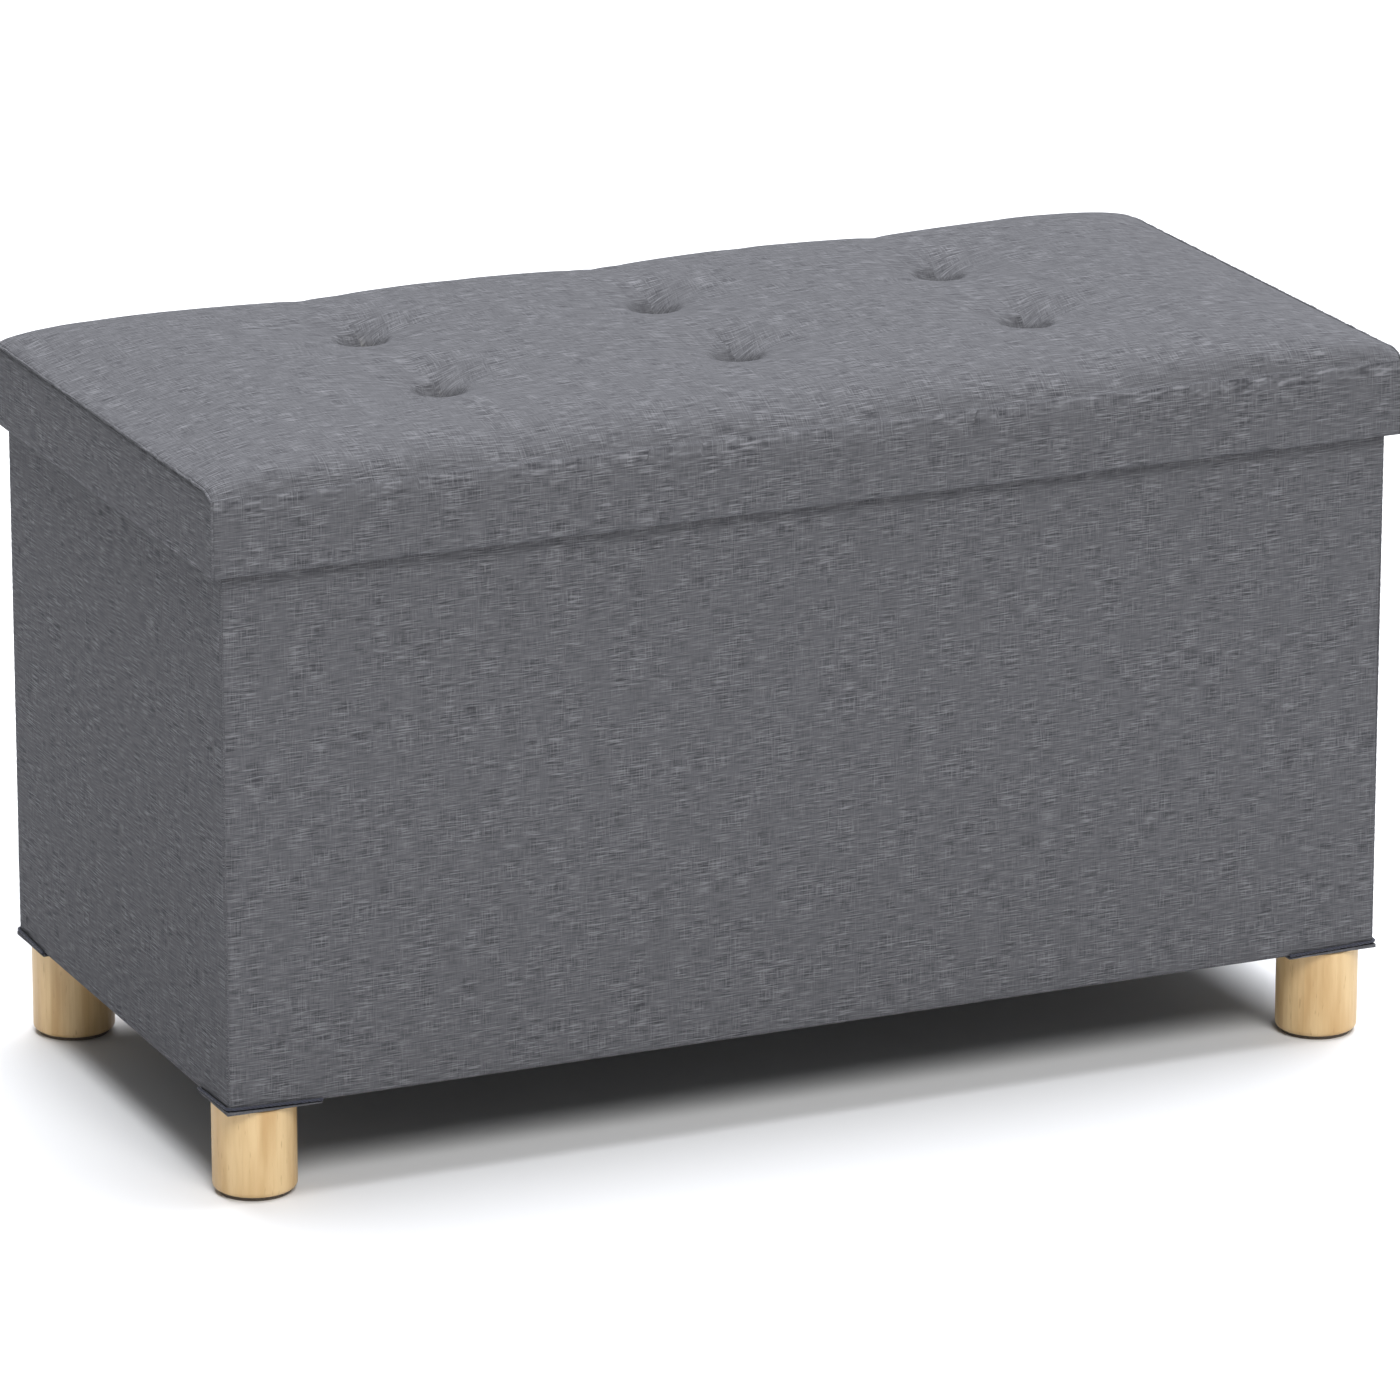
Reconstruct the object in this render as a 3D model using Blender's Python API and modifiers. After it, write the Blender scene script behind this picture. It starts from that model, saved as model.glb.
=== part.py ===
"""Upholstered storage bench: a fabric box on four round legs, with a padded cap lid that lifts off.

Units are metres, +Z is up, +X runs along the bench and -Y is its front. The origin is on the floor
under the middle of the bench. Every sub-part is one named object in the collection storage_bench.
"""

import math
from itertools import zip_longest

import bmesh
import bpy
from mathutils import Matrix, Vector

# Driving dimensions of the whole bench
LID_LENGTH, LID_DEPTH = 0.760, 0.370
LID_OVERHANG = 0.007  # how far the lid stands out past the box, all round
BOX_BOTTOM = 0.058  # lower edge of the box's fabric
LID_BOTTOM = 0.382  # lower edge of the lid's fabric
SEAM_HEIGHT = 0.432  # seam along the top of each end of the lid
CROWN = 0.016  # how far the padding swells above the seam
CROWN_ROLL_X, CROWN_ROLL_Y = 10, 6  # the higher, the closer to the edge the padding rolls over

# Sheet and board thicknesses
GAP = 0.0003  # between neighbours that touch
CLOTH = 0.0012  # upholstery fabric
LINING = 0.0005  # non-woven lining
PANEL = 0.009  # the box's walls and floor board
LID_BOARD = 0.006
SKIRT = 0.003
PATCH = 0.0008

# Corners, folds and edges
CLOTH_CORNER = 0.003  # radius of the sewn vertical corners
BOARD_CORNER = CLOTH_CORNER - CLOTH - GAP
FOLD_GAP = 0.0015  # between the two halves of a short wall
LID_HEM = 0.0042  # width of the lid's fabric turned in under the skirts
HEM = 0.0105  # width of the box's fabric turned in under the wall panels
LINING_CLEARANCE = 0.0015  # floor board to lining

# Tufts
TUFT_X = (-LID_LENGTH / 4, 0.0, LID_LENGTH / 4)
TUFT_Y = (-LID_DEPTH / 6, LID_DEPTH / 6)
TUFT_DEPTH = 0.020
TUFT_FLAT = 0.0058  # radius of the flat bottom of each pit
TUFT_REACH = 0.032  # radius where the pit meets the crown
TIE_RADIUS = 0.0008
TIE_HOLE, STITCH_HOLE = 0.0015, 0.0012
TIE_KNOT, TIE_KNOT_HEIGHT = 0.0026, 0.0013
TIE_ANCHOR = 0.008
TIE_ANCHOR_HEIGHT = 0.0015

# Legs
LEG_RADIUS = 0.025
LEG_INSET = 0.0252  # axis to the box's outer faces
LEG_EDGE = 0.003
GLIDE_RADIUS, GLIDE_HEIGHT = 0.0215, 0.002
BOLT_RADIUS = 0.004
BOLT_CLEARANCE = 0.0003
BOLT_IN_LEG = 0.028
INSERT_BARREL, INSERT_FLANGE = 0.0054, 0.011
INSERT_FLANGE_HEIGHT = 0.0015

# Corner patches under the box
PATCH_X, PATCH_Y = 0.058, 0.046
PATCH_CUT_X, PATCH_CUT_Y = 0.032, 0.021  # ends of the slanting edge across its inner corner
PATCH_LIP_CORNER, PATCH_LIP_END = 0.0022, 0.0006
BINDING_RADIUS = 0.0009

# Sizes that follow from those above
LID_X, LID_Y = LID_LENGTH / 2, LID_DEPTH / 2
BOX_X, BOX_Y = LID_X - LID_OVERHANG, LID_Y - LID_OVERHANG
WALL_X, WALL_Y = BOX_X - CLOTH - GAP, BOX_Y - CLOTH - GAP  # outer faces of the wall panels
INSIDE_X, INSIDE_Y = WALL_X - PANEL, WALL_Y - PANEL
FLOOR_X = INSIDE_X - GAP - LINING - LINING_CLEARANCE
FLOOR_Y = INSIDE_Y - GAP - LINING - LINING_CLEARANCE
LID_BOARD_TOP = 0.4145
LID_BOARD_BOTTOM = LID_BOARD_TOP - LID_BOARD
SKIRT_X, SKIRT_Y = LID_X - CLOTH - GAP, LID_Y - CLOTH - GAP
SKIRT_BOTTOM = LID_BOTTOM + CLOTH + GAP
SKIRT_TOP = LID_BOARD_BOTTOM - GAP
LID_LINING_TOP = LID_BOARD_BOTTOM - GAP
RIM_TOP = LID_LINING_TOP - LINING - GAP
WALL_BOTTOM = BOX_BOTTOM + CLOTH + GAP
WALL_TOP = RIM_TOP - CLOTH - GAP
FLOOR_COVER_BOTTOM = BOX_BOTTOM
FLOOR_BOTTOM = FLOOR_COVER_BOTTOM + LINING + GAP
FLOOR_TOP = FLOOR_BOTTOM + PANEL
PATCH_BOTTOM = BOX_BOTTOM - GAP - PATCH
LEG_BOTTOM = GLIDE_HEIGHT + GAP
LEG_TOP = PATCH_BOTTOM - GAP
LEG_PLACES = {
    "front_left": (-1, -1),
    "front_right": (1, -1),
    "back_left": (-1, 1),
    "back_right": (1, 1),
}


def clear_scene():
    for obj in list(bpy.data.objects):
        bpy.data.objects.remove(obj)


def make_collection(name):
    collection = bpy.data.collections.new(name)
    bpy.context.scene.collection.children.link(collection)
    return collection


def material(name, colour, roughness, metallic=0.0):
    """The material of this name, made the first time it is asked for."""
    found = bpy.data.materials.get(name)
    if found:
        return found
    made = bpy.data.materials.new(name)
    made.use_nodes = True
    shader = made.node_tree.nodes["Principled BSDF"]
    shader.inputs["Base Color"].default_value = (*colour, 1.0)
    shader.inputs["Roughness"].default_value = roughness
    shader.inputs["Metallic"].default_value = metallic
    made.diffuse_color = (*colour, 1.0)
    return made


def upholstery():
    return material("grey_linen_fabric", (0.135, 0.137, 0.150), 0.92)


def lining():
    return material("black_non_woven", (0.018, 0.018, 0.020), 0.95)


def fibreboard():
    return material("fibreboard", (0.40, 0.27, 0.16), 0.80)


def foam():
    return material("foam", (0.80, 0.74, 0.55), 0.95)


def pale_wood():
    return material("pale_wood", (0.72, 0.50, 0.27), 0.50)


def binding_tape():
    return material("navy_binding_tape", (0.020, 0.024, 0.050), 0.85)


def felt():
    return material("grey_felt", (0.060, 0.055, 0.050), 0.98)


def twine():
    return material("grey_twine", (0.100, 0.100, 0.110), 0.90)


def zinc():
    return material("zinc_plated_steel", (0.62, 0.62, 0.60), 0.35, 1.0)


def add_object(name, mesh, surface, collection, location=(0, 0, 0)):
    obj = bpy.data.objects.new(name, mesh)
    obj.location = location
    mesh.materials.append(surface)
    collection.objects.link(obj)
    return obj


def mesh_of(name, shape):
    """A mesh from a bmesh, which is freed."""
    mesh = bpy.data.meshes.new(name)
    shape.to_mesh(mesh)
    shape.free()
    return mesh


def cube_shape(low, high):
    """(bmesh of a box centred on the origin, its centre)."""
    low, high = Vector(low), Vector(high)
    shape = bmesh.new()
    bmesh.ops.create_cube(shape, size=1.0, matrix=Matrix.Diagonal((*(high - low), 1.0)))
    return shape, (low + high) / 2


def round_upright_edges(shape, radius, corners):
    """Rounds the upright edges on the named (x, y) sides of a box."""
    chosen = []
    for edge in shape.edges:
        a, b = (vert.co for vert in edge.verts)
        upright = abs(a.x - b.x) + abs(a.y - b.y) < 1e-6
        if upright and (math.copysign(1, a.x), math.copysign(1, a.y)) in corners:
            chosen.append(edge)
    bmesh.ops.bevel(shape, geom=chosen, offset=radius, segments=3, profile=0.5, affect="EDGES")


def add_board(name, low, high, surface, collection, corners=()):
    """A flat board whose named upright edges are rounded to lie inside the sewn cloth corners."""
    shape, centre = cube_shape(low, high)
    if corners:
        round_upright_edges(shape, BOARD_CORNER, corners)
    return add_object(name, mesh_of(name, shape), surface, collection, centre)


def add_cloth_shell(name, low, high, thickness, surface, collection, open_sides, turned_in=(), radius=0.0):
    """A thin box-shaped cover, open at the sides in open_sides ("top", "bottom").

    turned_in gives the width of the rim that each open side keeps, in the same order.
    """
    shape, centre = cube_shape(low, high)
    way = {"top": 1, "bottom": -1}
    for side, rim in zip_longest(open_sides, turned_in, fillvalue=0.0):
        shape.normal_update()
        face = next(face for face in shape.faces if face.normal.z * way[side] > 0.9)
        if rim:
            bmesh.ops.inset_region(shape, faces=[face], thickness=rim)
        bmesh.ops.delete(shape, geom=[face], context="FACES_ONLY")
    if radius:
        round_upright_edges(shape, radius, [(x, y) for x in (-1, 1) for y in (-1, 1)])
    obj = add_object(name, mesh_of(name, shape), surface, collection, centre)
    solidify(obj, thickness)
    return obj


def solidify(obj, thickness):
    """Thickness on the side the faces turn their backs to."""
    modifier = obj.modifiers.new("thickness", "SOLIDIFY")
    modifier.thickness = thickness
    modifier.offset = -1.0
    modifier.solidify_mode = "NON_MANIFOLD"
    modifier.nonmanifold_thickness_mode = "CONSTRAINTS"


def add_turned(name, profile, surface, collection, location, steps=32, closed=False, smooth=False):
    """A turned solid. The profile holds (radius, height) points and runs down its outer side."""
    mesh = bpy.data.meshes.new(name)
    count = len(profile)
    edges = [(i, (i + 1) % count) for i in range(count if closed else count - 1)]
    mesh.from_pydata([(radius, 0.0, height) for radius, height in profile], edges, [])
    obj = add_object(name, mesh, surface, collection, location)
    screw = obj.modifiers.new("turn", "SCREW")
    screw.steps = screw.render_steps = steps
    screw.use_merge_vertices = True
    screw.merge_threshold = 0.00001
    screw.use_smooth_shade = smooth
    return obj


def cut(obj, cutter):
    modifier = obj.modifiers.new("cut_" + cutter.name, "BOOLEAN")
    modifier.operation = "DIFFERENCE"
    modifier.object = cutter


def as_cutter(obj):
    obj.hide_render = True
    obj.display_type = "WIRE"
    return obj


def leg_axis(place):
    side_x, side_y = LEG_PLACES[place]
    return side_x * (BOX_X - LEG_INSET), side_y * (BOX_Y - LEG_INSET)


# ---- The box ---------------------------------------------------------------------------------------


def add_body_cover(parts):
    """Outer fabric of the box: four walls, turned in over the panels' tops and under their feet."""
    rim = BOX_X - INSIDE_X + GAP
    add_cloth_shell(
        "body_cover",
        (-BOX_X, -BOX_Y, BOX_BOTTOM),
        (BOX_X, BOX_Y, RIM_TOP),
        CLOTH,
        upholstery(),
        parts,
        open_sides=("top", "bottom"),
        turned_in=(rim, HEM),
        radius=CLOTH_CORNER,
    )


def add_long_panels(parts):
    for name, side in (("front_panel", -1), ("back_panel", 1)):
        near, far = sorted((side * INSIDE_Y, side * WALL_Y))
        low, high = (-WALL_X, near, WALL_BOTTOM), (WALL_X, far, WALL_TOP)
        add_board(name, low, high, fibreboard(), parts, corners=((-1, side), (1, side)))


def add_short_panels(parts):
    """Each short wall is two halves, which meet at the fold line in the middle."""
    for wall, side_x in (("left_panel", -1), ("right_panel", 1)):
        for half, side_y in (("front_half", -1), ("back_half", 1)):
            x_low, x_high = sorted((side_x * INSIDE_X, side_x * WALL_X))
            y_low, y_high = sorted((side_y * FOLD_GAP / 2, side_y * (INSIDE_Y - GAP)))
            low, high = (x_low, y_low, WALL_BOTTOM), (x_high, y_high, WALL_TOP)
            add_board(f"{wall}_{half}", low, high, fibreboard(), parts)


def add_inner_lining(parts):
    """Lining of the four walls, open at the top and at the floor."""
    half_x, half_y = INSIDE_X - GAP, INSIDE_Y - GAP
    low, high = (-half_x, -half_y, WALL_BOTTOM), (half_x, half_y, WALL_TOP)
    add_cloth_shell("inner_lining", low, high, LINING, lining(), parts, open_sides=("top", "bottom"))


def add_base_board(parts, cutters):
    """Floor board, with a stepped hole at each leg for its threaded insert."""
    low, high = (-FLOOR_X, -FLOOR_Y, FLOOR_BOTTOM), (FLOOR_X, FLOOR_Y, FLOOR_TOP)
    board = add_board("base_board", low, high, fibreboard(), parts)
    step = FLOOR_TOP - INSERT_FLANGE_HEIGHT - 2 * GAP
    profile = [
        (0.0, FLOOR_TOP + 0.002),
        (INSERT_FLANGE + GAP, FLOOR_TOP + 0.002),
        (INSERT_FLANGE + GAP, step),
        (INSERT_BARREL + GAP, step),
        (INSERT_BARREL + GAP, FLOOR_BOTTOM - 0.002),
        (0.0, FLOOR_BOTTOM - 0.002),
    ]
    for place in LEG_PLACES:
        x, y = leg_axis(place)
        cutter = add_turned("insert_hole_" + place, profile, zinc(), cutters, (x, y, 0), steps=20)
        cut(board, as_cutter(cutter))


def add_base_board_cover(parts, cutters):
    """Sleeve round the floor board, pierced underneath by the leg bolts."""
    margin = LINING + GAP
    low = (-FLOOR_X - margin, -FLOOR_Y - margin, FLOOR_COVER_BOTTOM)
    high = (FLOOR_X + margin, FLOOR_Y + margin, FLOOR_TOP + margin)
    shape, centre = cube_shape(low, high)
    cover = add_object("base_board_cover", mesh_of("base_board_cover", shape), lining(), parts, centre)
    solidify(cover, LINING)
    for place in LEG_PLACES:
        cut(cover, bolt_hole(place, cutters))


def bolt_hole(place, cutters):
    """Cutter for the holes that a leg bolt makes in the patch and in the floor board's sleeve."""
    name = "bolt_hole_" + place
    found = bpy.data.objects.get(name)
    if found:
        return found
    radius, top, bottom = BOLT_RADIUS + 0.0005, FLOOR_BOTTOM + 0.001, LEG_TOP - 0.001
    profile = [(0.0, top), (radius, top), (radius, bottom), (0.0, bottom)]
    x, y = leg_axis(place)
    return as_cutter(add_turned(name, profile, zinc(), cutters, (x, y, 0), steps=16))


def add_corner_patch(place, parts, cutters):
    """Fabric patch under a corner, with a low lip up the outside of the two walls."""
    side_x, side_y = LEG_PLACES[place]
    out = GAP + PATCH
    # Points by their distance in from the box's corner, and their height above the patch's floor.
    outline = [
        (-out, -out, 0),
        (PATCH_X, -out, 0),
        (PATCH_X, PATCH_CUT_Y, 0),
        (PATCH_CUT_X, PATCH_Y, 0),
        (-out, PATCH_Y, 0),
    ]
    lip = [
        (-out, -out, PATCH_LIP_CORNER),
        (PATCH_X, -out, PATCH_LIP_END),
        (-out, PATCH_Y, PATCH_LIP_END),
    ]
    shape = bmesh.new()
    verts = [shape.verts.new((side_x * (BOX_X - u), side_y * (BOX_Y - v), h)) for u, v, h in outline + lip]
    faces = [(0, 1, 2, 3, 4), (0, 5, 6, 1), (0, 4, 7, 5)]
    facing_down = side_x * side_y < 0
    for face in faces:
        shape.faces.new([verts[i] for i in (face if facing_down else reversed(face))])
    name = "corner_patch_" + place
    patch = add_object(name, mesh_of(name, shape), upholstery(), parts, (0, 0, PATCH_BOTTOM))
    solidify(patch, PATCH)
    cut(patch, bolt_hole(place, cutters))


def add_corner_binding(place, parts):
    """Bias tape along the lip of a corner patch, as a round cord that turns the corner."""
    side_x, side_y = LEG_PLACES[place]
    out = GAP + BINDING_RADIUS
    bend = CLOTH_CORNER + out
    above_floor = PATCH + BINDING_RADIUS
    rise = PATCH_LIP_CORNER - PATCH_LIP_END
    points = []
    for step in range(7):
        along = PATCH_X + (CLOTH_CORNER - PATCH_X) * step / 6
        points.append((along, -out, PATCH_LIP_END + rise * step / 6))
    for step in range(1, 6):
        turn = math.radians(90 * step / 6)
        u = CLOTH_CORNER - bend * math.sin(turn)
        v = CLOTH_CORNER - bend * math.cos(turn)
        points.append((u, v, PATCH_LIP_CORNER))
    for step in range(7):
        along = CLOTH_CORNER + (PATCH_Y - CLOTH_CORNER) * step / 6
        points.append((-out, along, PATCH_LIP_CORNER - rise * step / 6))
    name = "corner_binding_" + place
    curve = bpy.data.curves.new(name, "CURVE")
    curve.dimensions = "3D"
    curve.bevel_depth = BINDING_RADIUS
    curve.bevel_resolution = 2
    curve.use_fill_caps = True
    spline = curve.splines.new("POLY")
    spline.points.add(len(points) - 1)
    for point, (u, v, h) in zip(spline.points, points):
        height = PATCH_BOTTOM + above_floor + h
        point.co = (side_x * (BOX_X - u), side_y * (BOX_Y - v), height, 1.0)
    add_object(name, curve, binding_tape(), parts)


def add_leg(place, parts):
    """Round leg with softened edges and a blind hole for its bolt."""
    hole = BOLT_RADIUS + BOLT_CLEARANCE
    profile = [(0.0, LEG_TOP - BOLT_IN_LEG), (hole, LEG_TOP - BOLT_IN_LEG), (hole, LEG_TOP)]
    profile += [(LEG_RADIUS - 0.001, LEG_TOP), (LEG_RADIUS, LEG_TOP - 0.001)]
    for step in range(5):
        turn = math.radians(90 * step / 4)
        radius = LEG_RADIUS - LEG_EDGE + LEG_EDGE * math.cos(turn)
        profile.append((radius, LEG_BOTTOM + LEG_EDGE - LEG_EDGE * math.sin(turn)))
    profile.append((0.0, LEG_BOTTOM))
    x, y = leg_axis(place)
    add_turned("leg_" + place, profile, pale_wood(), parts, (x, y, 0), steps=40, smooth=True)


def add_leg_glide(place, parts):
    profile = [(0.0, GLIDE_HEIGHT), (GLIDE_RADIUS, GLIDE_HEIGHT), (GLIDE_RADIUS, 0.0), (0.0, 0.0)]
    x, y = leg_axis(place)
    add_turned("leg_glide_" + place, profile, felt(), parts, (x, y, 0), steps=40)


def add_leg_bolt(place, parts):
    """Hanger bolt: a pointed wood thread in the leg and a machine thread up into the insert."""
    top, tip = FLOOR_TOP - 0.0008, LEG_TOP - BOLT_IN_LEG + GAP
    profile = [
        (0.0, top),
        (BOLT_RADIUS - 0.0008, top),
        (BOLT_RADIUS, top - 0.0008),
        (BOLT_RADIUS, LEG_TOP - 0.001),
        (BOLT_RADIUS - 0.0006, LEG_TOP - 0.002),
        (BOLT_RADIUS - 0.0006, tip + 0.005),
        (0.0, tip),
    ]
    x, y = leg_axis(place)
    add_turned("leg_bolt_" + place, profile, zinc(), parts, (x, y, 0), steps=16, smooth=True)


def add_leg_insert(place, parts):
    """Flanged threaded insert, let into the top of the floor board."""
    flange_top = FLOOR_TOP - GAP
    flange_bottom = flange_top - INSERT_FLANGE_HEIGHT
    hole = BOLT_RADIUS + BOLT_CLEARANCE
    profile = [
        (hole, flange_top),
        (INSERT_FLANGE, flange_top),
        (INSERT_FLANGE, flange_bottom),
        (INSERT_BARREL, flange_bottom),
        (INSERT_BARREL, FLOOR_BOTTOM + GAP),
        (hole, FLOOR_BOTTOM + GAP),
    ]
    x, y = leg_axis(place)
    name = "leg_insert_" + place
    add_turned(name, profile, zinc(), parts, (x, y, 0), steps=20, closed=True)


# ---- The lid ---------------------------------------------------------------------------------------


def cushion_height(x, y, inset=0.0):
    """Height of a padded layer at (x, y), whose edges lie this far in from the lid's.

    It is a crown that falls to the seam's height at the edges, less the tuft pits.
    """
    edge_x = max(0.0, 1 - abs(x / (LID_X - inset)) ** CROWN_ROLL_X)
    edge_y = max(0.0, 1 - abs(y / (LID_Y - inset)) ** CROWN_ROLL_Y)
    height = SEAM_HEIGHT + CROWN * math.sqrt(edge_x * edge_y)
    for tuft_x in TUFT_X:
        for tuft_y in TUFT_Y:
            away = math.hypot(x - tuft_x, y - tuft_y)
            share = (away - TUFT_FLAT) / (TUFT_REACH - TUFT_FLAT)
            height -= TUFT_DEPTH * (1 - min(max(share, 0.0), 1.0)) ** 2
    return height


def pit_bottom():
    return cushion_height(TUFT_X[1], TUFT_Y[0])


def grid_lines(half, centres):
    """Coordinates from -half to half, closer together at each centre."""
    offsets = (0.0, TUFT_FLAT * 0.7, 0.010, 0.019, TUFT_REACH)
    lines = {round(centre + sign * offset, 5) for centre in centres for offset in offsets for sign in (-1, 1)}
    lines |= {round(sign * (half - inset), 5) for inset in (0.0, 0.006, 0.020) for sign in (-1, 1)}
    lines |= {round((a + b) / 2, 5) for a, b in zip(centres, centres[1:])}
    ordered = [line for line in sorted(lines) if abs(line) <= half + 1e-6]
    return [b for a, b in zip([-1.0] + ordered, ordered) if b - a > 0.0025]


def crowned_sheet(lines, inset=0.0, drop=0.0):
    """An open bmesh of rows along X. Each line holds y and a height, or None for the padding's top."""
    shape = bmesh.new()
    columns = []
    for x in grid_lines(LID_X - inset, TUFT_X):
        column = []
        for y, height in lines:
            z = cushion_height(x, y, inset) - drop if height is None else height
            column.append(shape.verts.new((x, y, z)))
        columns.append(column)
    for column, following in zip(columns, columns[1:]):
        for i in range(len(column) - 1):
            # Triangles, so that layers that follow one another crease along the same lines.
            shape.faces.new((column[i], following[i], following[i + 1]))
            shape.faces.new((column[i], following[i + 1], column[i + 1]))
    return shape


def close_down_to(shape, floor):
    """Closes a sheet into a solid with a flat underside at this height."""
    made = bmesh.ops.extrude_face_region(shape, geom=shape.faces[:])
    for item in made["geom"]:
        if isinstance(item, bmesh.types.BMVert):
            item.co.z = floor
    bmesh.ops.recalc_face_normals(shape, faces=shape.faces)


def tie_holes(name, radius, top, bottom, collection, steps=10):
    """One cutter for each tuft: a round hole between the two heights."""
    profile = [(0.0, top), (radius, top), (radius, bottom), (0.0, bottom)]
    for i, (tuft_x, tuft_y) in enumerate((x, y) for y in TUFT_Y for x in TUFT_X):
        hole = add_turned(f"{name}_{i}", profile, twine(), collection, (tuft_x, tuft_y, 0), steps)
        yield as_cutter(hole)


def add_lid_board(parts, cutters):
    low, high = (-SKIRT_X, -SKIRT_Y, LID_BOARD_BOTTOM), (SKIRT_X, SKIRT_Y, LID_BOARD_TOP)
    corners = [(x, y) for x in (-1, 1) for y in (-1, 1)]
    board = add_board("lid_board", low, high, fibreboard(), parts, corners)
    through = tie_holes("tie_hole", TIE_HOLE, LID_BOARD_TOP + 0.01, LID_BOARD_BOTTOM - 0.01, cutters)
    recess_top = LID_BOARD_BOTTOM + TIE_ANCHOR_HEIGHT + 2 * GAP
    recesses = tie_holes("anchor_recess", TIE_ANCHOR + GAP, recess_top, LID_BOARD_BOTTOM - 0.002, cutters, 16)
    for cutter in (*through, *recesses):
        cut(board, cutter)


def add_lid_skirts(parts):
    """Four strips under the lid board, which cap the box."""
    for name, side in (("lid_skirt_front", -1), ("lid_skirt_back", 1)):
        near, far = sorted((side * (SKIRT_Y - SKIRT), side * SKIRT_Y))
        low, high = (-SKIRT_X, near, SKIRT_BOTTOM), (SKIRT_X, far, SKIRT_TOP)
        add_board(name, low, high, fibreboard(), parts, corners=((-1, side), (1, side)))
    end = SKIRT_Y - SKIRT - GAP
    for name, side in (("lid_skirt_left", -1), ("lid_skirt_right", 1)):
        near, far = sorted((side * (SKIRT_X - SKIRT), side * SKIRT_X))
        add_board(name, (near, -end, SKIRT_BOTTOM), (far, end, SKIRT_TOP), fibreboard(), parts)


def add_lid_lining(parts):
    """Lining under the lid board and down the inside of the skirts."""
    half_x, half_y = SKIRT_X - SKIRT - GAP, SKIRT_Y - SKIRT - GAP
    low, high = (-half_x, -half_y, SKIRT_BOTTOM + 0.001), (half_x, half_y, LID_LINING_TOP)
    add_cloth_shell("lid_lining", low, high, LINING, lining(), parts, open_sides=("bottom",))


def add_lid_foam(parts, cutters):
    inset = CLOTH + 6 * GAP
    lines = [(y, None) for y in grid_lines(LID_Y - inset, TUFT_Y)]
    shape = crowned_sheet(lines, inset, drop=inset)
    close_down_to(shape, LID_BOARD_TOP + GAP)
    pad = add_object("lid_foam", mesh_of("lid_foam", shape), foam(), parts)
    for hole in tie_holes("foam_hole", TIE_HOLE, pit_bottom() + 0.01, LID_BOARD_BOTTOM, cutters):
        cut(pad, hole)


def add_lid_main_fabric(parts, cutters):
    """One piece of upholstery over the top, down the front and back, and turned in under the skirts."""
    front = [(LID_HEM - LID_Y, LID_BOTTOM), (-LID_Y, LID_BOTTOM)]
    over = [(y, None) for y in grid_lines(LID_Y, TUFT_Y)]
    back = [(-y, height) for y, height in reversed(front)]
    shape = crowned_sheet(front + over + back)
    # The ends of each hem are mitred to meet the hems of the side pieces.
    hem_end = LID_X - LID_HEM - CLOTH
    for vert in shape.verts:
        if abs(vert.co.y) < LID_Y - LID_HEM + GAP and vert.co.z < LID_BOTTOM + GAP:
            vert.co.x = max(-hem_end, min(vert.co.x, hem_end))
    name = "lid_main_fabric"
    fabric = add_object(name, mesh_of(name, shape), upholstery(), parts)
    solidify(fabric, CLOTH)
    top, bottom = pit_bottom() + 0.01, pit_bottom() - 0.01
    for hole in tie_holes("stitch_hole", STITCH_HOLE, top, bottom, cutters):
        cut(fabric, hole)


def add_lid_side_fabric(name, side, parts):
    """An end of the lid: a panel sewn to the main fabric along its top and its upright edges."""
    half_y = LID_Y - CLOTH - 3 * GAP
    top = SEAM_HEIGHT - CLOTH - 3 * GAP
    inner_x, inner_y = LID_X - LID_HEM, half_y - LID_HEM
    corners = [
        (LID_X, -half_y, LID_BOTTOM),
        (LID_X, half_y, LID_BOTTOM),
        (LID_X, half_y, top),
        (LID_X, -half_y, top),
        (inner_x, -inner_y, LID_BOTTOM),
        (inner_x, inner_y, LID_BOTTOM),
    ]
    mesh = bpy.data.meshes.new(name)
    # Turned by half a turn for the left end.
    mesh.from_pydata([(side * x, side * y, z) for x, y, z in corners], [], [(0, 1, 2, 3), (0, 4, 5, 1)])
    solidify(add_object(name, mesh, upholstery(), parts), CLOTH)


def add_tuft_ties(parts):
    """Twine from an anchor let into the lid board's underside up to a flat knot in each pit."""
    anchor_bottom = LID_BOARD_BOTTOM + GAP
    anchor_top = anchor_bottom + TIE_ANCHOR_HEIGHT
    knot_bottom = pit_bottom() + GAP
    profile = [
        (0.0, knot_bottom + TIE_KNOT_HEIGHT),
        (TIE_KNOT * 0.7, knot_bottom + TIE_KNOT_HEIGHT * 0.85),
        (TIE_KNOT, knot_bottom + TIE_KNOT_HEIGHT * 0.3),
        (TIE_KNOT, knot_bottom),
        (TIE_RADIUS, knot_bottom),
        (TIE_RADIUS, anchor_top),
        (TIE_ANCHOR, anchor_top),
        (TIE_ANCHOR, anchor_bottom),
        (0.0, anchor_bottom),
    ]
    for row, tuft_y in zip(("front", "back"), TUFT_Y):
        for column, tuft_x in zip(("left", "middle", "right"), TUFT_X):
            name = f"tuft_tie_{row}_{column}"
            add_turned(name, profile, twine(), parts, (tuft_x, tuft_y, 0), steps=14)


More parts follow.
